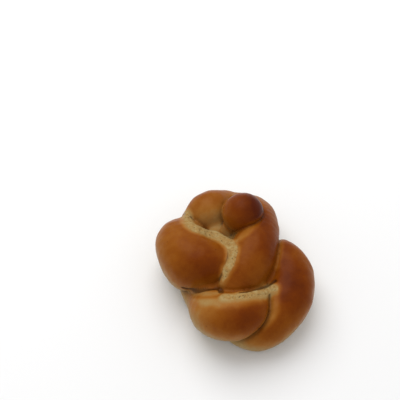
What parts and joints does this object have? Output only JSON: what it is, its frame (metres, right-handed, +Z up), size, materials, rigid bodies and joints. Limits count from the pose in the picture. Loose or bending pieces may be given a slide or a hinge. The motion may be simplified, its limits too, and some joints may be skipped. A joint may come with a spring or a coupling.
{
  "type": "challah roll",
  "caption": "Baked egg-dough roll: one soft rope plaited through itself into fat overlapping lobes, with a rounded knob at one end and a flat base.",
  "frame": {"origin": "middle of the flat underside", "axes": "+Z up from the flat underside, +Y along the roll towards the end with the knob"},
  "size_m": [0.0904, 0.1132, 0.0533],
  "materials": {
    "crust": "satin"
  },
  "bodies": {
    "root": {"challah_roll": "crust"}
  },
  "joints": []
}
